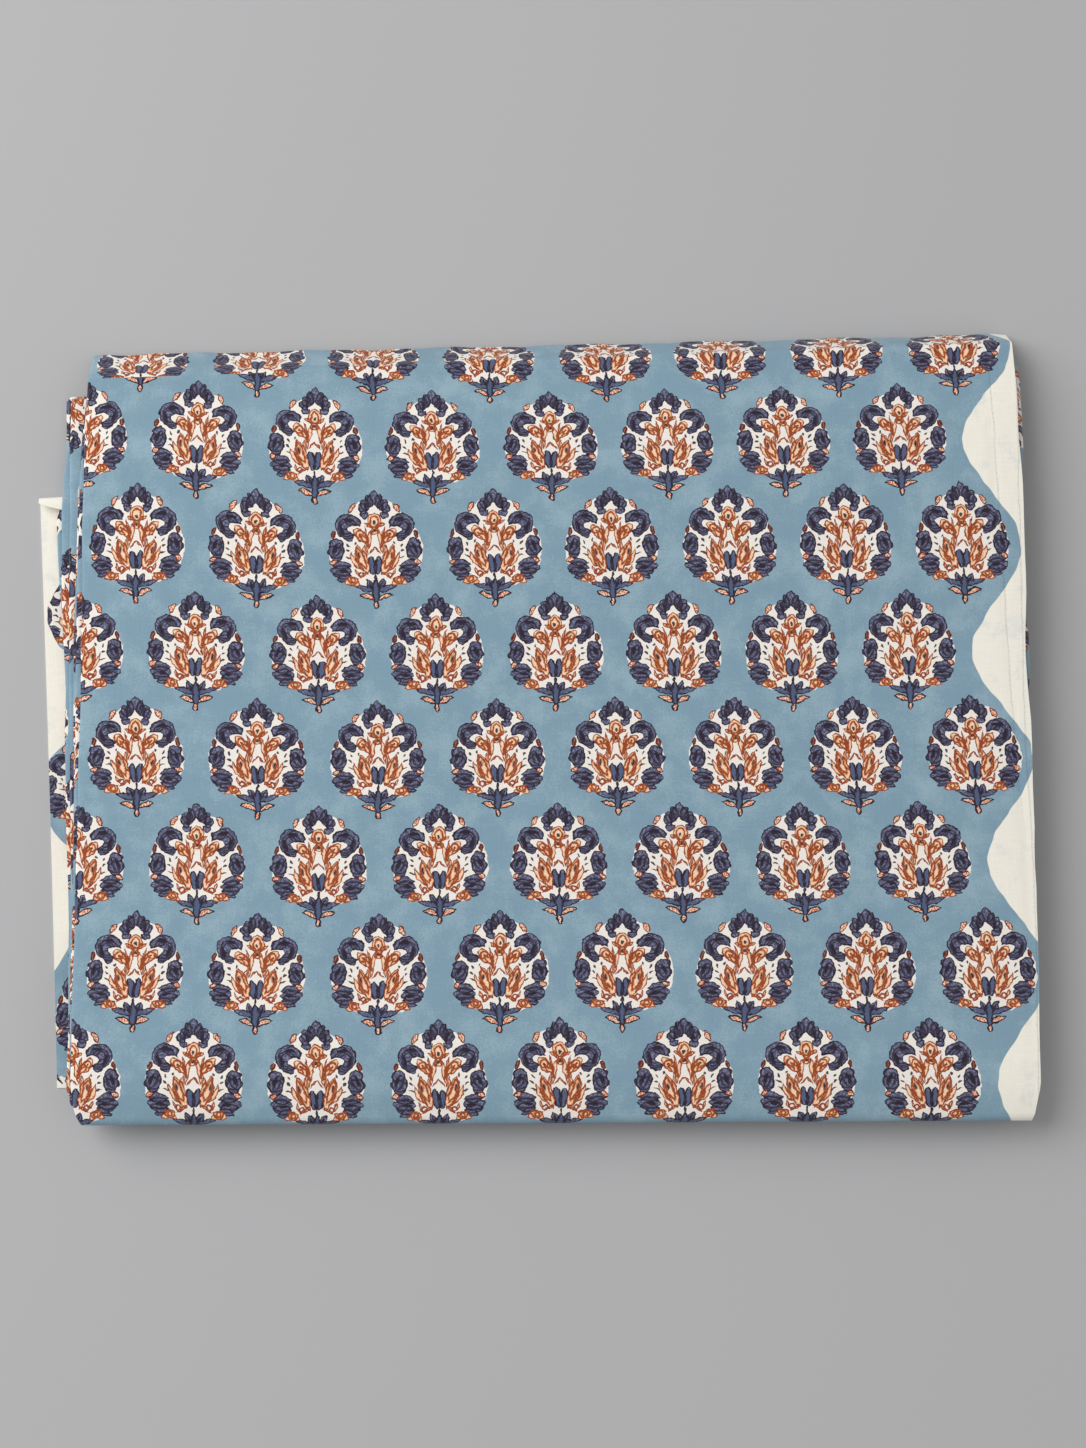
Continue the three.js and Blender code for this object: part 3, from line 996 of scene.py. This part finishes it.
def petal(tip, end, half_width):
    """How far a place is inside or outside an ellipse: a loop of string round two pins."""
    half = math.dist(tip, end) / 2
    half_width = min(half_width, half * 0.999)
    pin = math.sqrt(half * half - half_width * half_width) / (2 * half)
    middle = ((tip[0] + end[0]) / 2, (tip[1] + end[1]) / 2)
    to_end = ((end[0] - tip[0]) * pin, (end[1] - tip[1]) * pin)
    first = vector_calc("DISTANCE", half_place, (middle[0] + to_end[0], middle[1] + to_end[1], 0.0))
    second = vector_calc("DISTANCE", half_place, (middle[0] - to_end[0], middle[1] - to_end[1], 0.0))
    even_line = math.sqrt(half / half_width)
    return calc("MULTIPLY_ADD", calc("ADD", first, second), even_line / 2, -half * even_line)


def shape(kind, x, y, end_x, end_y, half_width, bend=0.0):
    """The edge distance of one row of the chart."""
    if kind.endswith("petal"):
        return petal((x, y), (end_x, end_y), half_width)
    if kind in ("dot", "ring"):
        edge = calc("SUBTRACT", vector_calc("DISTANCE", half_place, (x, y, 0.0)), half_width)
        return calc("SUBTRACT", calc("ABSOLUTE", edge), bend) if kind == "ring" else edge
    return leaf((x, y), (end_x, end_y), half_width, bend)


# %% Draw every shape, ink by ink
FAR_AWAY = 9.0


def draw(ink, with_lines=False):
    """One ink's shapes together: how far inside them a place is, and how near to any of their edges."""
    body, lines = FAR_AWAY, FAR_AWAY
    for kind, *sizes in CHART[ink]:
        edge = shape(kind, *sizes)
        if kind.startswith("cut"):
            body = calc("MAXIMUM", body, calc("MULTIPLY", edge, -1.0))
        else:
            body = calc("MINIMUM", body, edge)
        if with_lines:
            lines = calc("MINIMUM", lines, calc("ABSOLUTE", edge))
    return (body, lines) if with_lines else body


navy_body, navy_lines = draw("navy", with_lines=True)
denim_body = draw("denim")
rust_body, rust_lines = draw("rust", with_lines=True)
rim_body, foot_body, dark_body = draw("rim"), draw("foot"), draw("dark")

# %% The white ground behind the flower
HIGHEST, WIDEST = 50.0, 20.0
WHITE_INSET = 0.15
profile = add("FloatCurve")
curve = profile.mapping.curves[0]
curve.points[0].location = (0.0, 0.0)
curve.points[1].location = (1.0, 0.0)
for height, half_width in WHITE_GROUND:
    curve.points.new(height / HIGHEST, half_width / WIDEST)
for point in curve.points:
    point.handle_type = "VECTOR"
profile.mapping.update()
white_shift = vector_calc("MULTIPLY_ADD", own_faults, (0.9, 0.7, 0.0), moved)
white_x, white_y = parts(vector_calc("ADD", white_shift, (-0.2, 0.0, 0.0)))
feed(profile.inputs["Value"], calc("DIVIDE", white_y, HIGHEST))
white_half = calc("MULTIPLY_ADD", profile.outputs[0], WIDEST, -WHITE_INSET)
white_body = calc("SUBTRACT", calc("ABSOLUTE", white_x), white_half)

# %% [markdown]
# ## The scalloped selvedges
#
# Near both selvedges the blue ground ends in scallops, one for every two rows of flowers, and the cotton is
# bare cream beyond. The line wanders, because the ground was brushed in by hand along the edge of the blocks.

# %% Where the blue ground ends
RIGHT_EDGE = {"middle": 177.1, "drift": 4.3, "drift_length": 950.0, "drift_from": 0.0}
LEFT_EDGE = {"middle": -879.9, "drift": -8.0, "drift_length": 720.0, "drift_from": -1624.0}
SCALLOP = 10.4
cloth_x, cloth_y = parts(cloth_place)
wandering = calc("MULTIPLY", calc("SUBTRACT", noise(cloth_place, 9.0, 1.0), 0.5), 2.2)
scallop = calc("MULTIPLY", calc("COSINE", calc("MULTIPLY", up_column, math.pi / ROW_STEP)), SCALLOP)
scallop = calc("ADD", scallop, wandering)


def drifting(edge):
    """The middle line of a scalloped edge, which drifts along the cloth."""
    turn_rate = 2 * math.pi / edge["drift_length"]
    turned = calc("SINE", calc("MULTIPLY_ADD", cloth_y, turn_rate, -edge["drift_from"] * turn_rate))
    return calc("ADD", calc("MULTIPLY_ADD", turned, -edge["drift"], edge["middle"]), scallop)


past_right = calc("SUBTRACT", cloth_x, drifting(RIGHT_EDGE))
past_left = calc("SUBTRACT", drifting(LEFT_EDGE), cloth_x)
past_edge = calc("MAXIMUM", past_right, past_left)
bare = stretch(past_edge, -0.12, 0.12)

# %% [markdown]
# ## Laying the inks
#
# The inks go down in printing order, and each one is a little uneven. The dark block leaves an outline round
# every petal. Inside it the navy is patchy, and the orange runs to peach where the ink was thin.

# %% How an ink covers the cloth
SOFT = 0.08


def cover(distance, grow=0.0):
    """1 where a shape covers the cloth, with a soft edge."""
    return stretch(distance, grow - SOFT, grow + SOFT, 1.0, 0.0)


def filled(body, lines, grain, uneven, line, rim, strength):
    """Where an ink's fill shows: inside its rim, and away from the uneven lines that the block leaves."""
    half_line = calc("MULTIPLY_ADD", calc("SUBTRACT", grain, 0.5), uneven, line)
    lined = calc("MULTIPLY", cover(calc("SUBTRACT", lines, half_line)), strength)
    return calc("MULTIPLY", cover(body, -rim), calc("SUBTRACT", 1.0, lined))


# %% Uneven ink, and the two grounds
mottle = noise(cloth_place, 14.0, 3.0, roughness=0.6)
speck = noise(cloth_place, 0.75, 2.0, roughness=0.7)
patch = noise(cloth_place, 0.8, 1.0)
streak = noise(cloth_place, 0.55, 1.0)

worn = stretch(calc("ADD", calc("MULTIPLY", mottle, 0.6), calc("MULTIPLY", speck, 0.4)), 0.42, 0.68)
colour = blend(worn, INK["ground"], INK["ground pale"])
colour = blend(cover(white_body), colour, INK["white"])

# %% Navy block
colour = blend(cover(navy_body), colour, INK["outline"])
inside = filled(navy_body, navy_lines, patch, uneven=0.9, line=0.25, rim=0.42, strength=0.92)
navy_fill = blend(stretch(patch, 0.42, 0.66), INK["navy"], INK["navy pale"])
colour = blend(inside, colour, navy_fill)
colour = blend(calc("MULTIPLY", cover(denim_body), 0.9), colour, INK["denim"])

# %% Rust block, with a darker core in the carrot-shaped leaf
CORE_X, CORE_Y = 6.2, 20.7
CORE_STRETCH_X, CORE_STRETCH_Y = 1.25, 0.6
colour = blend(cover(rust_body, 0.05), colour, INK["rust"])
inside = filled(rust_body, rust_lines, streak, uneven=0.7, line=0.31, rim=0.28, strength=0.95)
thin_ink = stretch(calc("MULTIPLY_ADD", streak, 1.4, rust_lines), 0.9, 1.35)
rust_fill = blend(thin_ink, INK["orange"], INK["peach"])
core_stretch = (CORE_STRETCH_X, CORE_STRETCH_Y, 0.0)
core_place = (-CORE_X * CORE_STRETCH_X, -CORE_Y * CORE_STRETCH_Y, 0.0)
core = vector_calc("MULTIPLY_ADD", half_place, core_stretch, core_place)
core_share = stretch(vector_calc("LENGTH", core), 0.6, 1.2, 0.8, 0.0)
rust_fill = blend(core_share, rust_fill, INK["rust"])
colour = blend(inside, colour, rust_fill)

# %% Rim buds, foot leaves, eyes and dashes
bud_fill = blend(stretch(streak, 0.44, 0.56), INK["rim red"], INK["peach"])
colour = blend(cover(rim_body), colour, INK["dark rust"])
colour = blend(cover(rim_body, -0.38), colour, bud_fill)
colour = blend(cover(foot_body), colour, INK["outline"])
foot_fill = blend(stretch(streak, 0.42, 0.58), INK["rim red"], INK["peach"])
colour = blend(cover(foot_body, -0.5), colour, foot_fill)
colour = blend(calc("MULTIPLY", cover(dark_body), 0.95), colour, INK["outline"])

# %% Bare selvedges
stained = stretch(noise(cloth_place, 11.0, 3.0, roughness=0.65), 0.54, 0.74, 0.0, 0.34)
cream = blend(stained, INK["selvedge"], INK["selvedge stain"])
colour = blend(bare, colour, cream)

# %% The line where the border was once folded: painted crease shade and worn ink along a pressed edge
def faint_line(aside, full, gone):
    """How strongly a faint broken line shows at a distance from its middle."""
    return calc("MULTIPLY", stretch(calc("ABSOLUTE", aside), full, gone, 1.0, 0.0), broken)


PRESSED_FROM, PRESSED_TO = (175.2, 131.0), (185.8, -107.0)
PRESSED_GONE, PRESSED_FULL = -60.0, 30.0
pressed_length = math.dist(PRESSED_FROM, PRESSED_TO)
pressed_x = (PRESSED_TO[0] - PRESSED_FROM[0]) / pressed_length
pressed_y = (PRESSED_TO[1] - PRESSED_FROM[1]) / pressed_length
from_line = vector_calc("SUBTRACT", cloth_place, (*PRESSED_FROM, 0.0))
aside = vector_calc("DOT_PRODUCT", from_line, (pressed_y, -pressed_x, 0.0))
aside = calc("MULTIPLY_ADD", calc("SUBTRACT", mottle, 0.5), 1.6, aside)
broken = stretch(streak, 0.42, 0.6, 0.08, 0.26)
# Painted shade: a thin dark line stands for the shade in the pressed crease, with some worn ink in it.
crease_shade_and_wear = calc("MULTIPLY", faint_line(aside, 0.1, 0.55), stretch(cloth_y, PRESSED_GONE, PRESSED_FULL))
colour = blend(crease_shade_and_wear, colour, INK["outline"])

# A faint broken dark line runs along the cloth just inside the right selvedge too.
BAND_X = 186.0
band_aside = calc("MULTIPLY_ADD", mottle, 1.2, calc("SUBTRACT", cloth_x, BAND_X))
colour = blend(faint_line(band_aside, 0.1, 0.5), colour, INK["outline"])
print(len(tree.nodes), "nodes so far")

# %% [markdown]
# ## Threads, reverse and surface
#
# Plain weave shows as a fine grid of threads. It is a bump made from two waves, with thicker and thinner
# threads from stretched noise. On the reverse the ink has only soaked through, so the print is paler there.

# %% Threads and the reverse
THREAD_STEP = 0.46
REVERSE_PALENESS = 0.36

across_thread = calc("SINE", calc("MULTIPLY", cloth_x, 2 * math.pi / THREAD_STEP))
along_thread = calc("SINE", calc("MULTIPLY", cloth_y, 2 * math.pi / THREAD_STEP))
weave = calc("MULTIPLY", across_thread, along_thread)
slub_across = noise(vector_calc("MULTIPLY", cloth_place, (0.12, 1.6, 1.0)), 1.0, 1.0)
slub_along = noise(vector_calc("MULTIPLY", cloth_place, (1.6, 0.12, 1.0)), 1.0, 1.0)
slubs = calc("ADD", slub_across, slub_along)
thread_shade = calc("MULTIPLY_ADD", weave, 0.03, calc("MULTIPLY_ADD", slubs, 0.07, 0.93))
shaded = scaled(colour, thread_shade)

reverse = add("Attribute", attribute_name="reverse")
paler = calc("MULTIPLY", reverse.outputs["Fac"], REVERSE_PALENESS)
finished = blend(paler, shaded, INK["selvedge"])

# %% Surface of the cotton
height = calc("MULTIPLY_ADD", weave, 0.5, calc("MULTIPLY", slubs, 1.2))
bump = add("Bump")
bump.inputs["Strength"].default_value = 0.35
bump.inputs["Distance"].default_value = 0.06 * MM
feed(bump.inputs["Height"], height)
surface = add("BsdfPrincipled")
surface.inputs["Roughness"].default_value = 0.86
surface.inputs["Specular IOR Level"].default_value = 0.25
surface.inputs["Sheen Weight"].default_value = 0.12
surface.inputs["Sheen Roughness"].default_value = 0.5
feed(surface.inputs["Base Color"], finished)
feed(surface.inputs["Normal"], bump.outputs[0])
add("OutputMaterial", surface.outputs[0])
sheet.data.materials.clear()
sheet.data.materials.append(cotton)
print(len(tree.nodes), "nodes in the cotton")

# %% [markdown]
# ## Floor, light and camera
#
# The photo is a plain product picture: a pale grey table, a large soft light from the upper left, and a
# camera almost straight above, tilted ten degrees. A big area light gives the same soft shadow below and to
# the right.

# %% Pale floor
bpy.ops.object.select_all(action="DESELECT")
bpy.ops.mesh.primitive_plane_add(size=8.0)
floor = bpy.context.object
floor.name = "floor"
pale = bpy.data.materials.new("pale_floor")
pale.use_nodes = True
pale_surface = pale.node_tree.nodes["Principled BSDF"]
pale_surface.inputs["Base Color"].default_value = linear(181, 181, 182)
pale_surface.inputs["Roughness"].default_value = 0.9
floor.data.materials.append(pale)

# %% Soft studio light
def area_light(name, place, size, power):
    """A square soft light at a place, turned to the middle of the pile."""
    light = bpy.data.lights.new(name, "AREA")
    light.shape = "SQUARE"
    light.size = size
    light.energy = power
    holder = bpy.data.objects.new(name, light)
    bpy.context.collection.objects.link(holder)
    holder.location = place
    turn = math.atan2(place[0], -place[1])
    tilt = math.atan2(math.hypot(place[0], place[1]), place[2])
    holder.rotation_euler = (tilt, 0.0, turn)


area_light("window light", (-1.5, 0.72, 1.6), 2.0, 46.5)
area_light("fill light", (0.9, -1.1, 1.9), 2.2, 7.5)
world = bpy.data.worlds.new("studio")
world.use_nodes = True
world.node_tree.nodes["Background"].inputs["Color"].default_value = linear(230, 230, 231)
world.node_tree.nodes["Background"].inputs["Strength"].default_value = 0.46
bpy.context.scene.world = world
bpy.context.scene.view_settings.view_transform = "Standard"

# %% Camera above the pile
# The photo's height and the focal length in its pixels, each of which is 0.382 mm on the top of the pile.
PHOTO_HEIGHT, FOCAL_PIXELS, PIXEL = 1448.0, 2755.0, 0.382
TILT = math.radians(10.0)
SENSOR = 36.0
TOP_HEIGHT = 0.019
DISTANCE = FOCAL_PIXELS * PIXEL * MM
aim = np.array([shift[0] * MM, shift[1] * MM, TOP_HEIGHT])
camera_data = bpy.data.cameras.new("camera")
camera_data.sensor_fit = "VERTICAL"
camera_data.sensor_height = SENSOR
camera_data.lens = SENSOR * FOCAL_PIXELS / PHOTO_HEIGHT
camera = bpy.data.objects.new("camera", camera_data)
bpy.context.collection.objects.link(camera)
camera.location = aim + DISTANCE * np.array([0.0, -math.sin(TILT), math.cos(TILT)])
camera.rotation_euler = (TILT, 0.0, 0.0)
camera_data.clip_start, camera_data.clip_end = 0.05, 20.0
bpy.context.scene.camera = camera
print("camera at", tuple(round(value, 3) for value in camera.location))

# %% Update the scene and finish
bpy.context.view_layer.update()
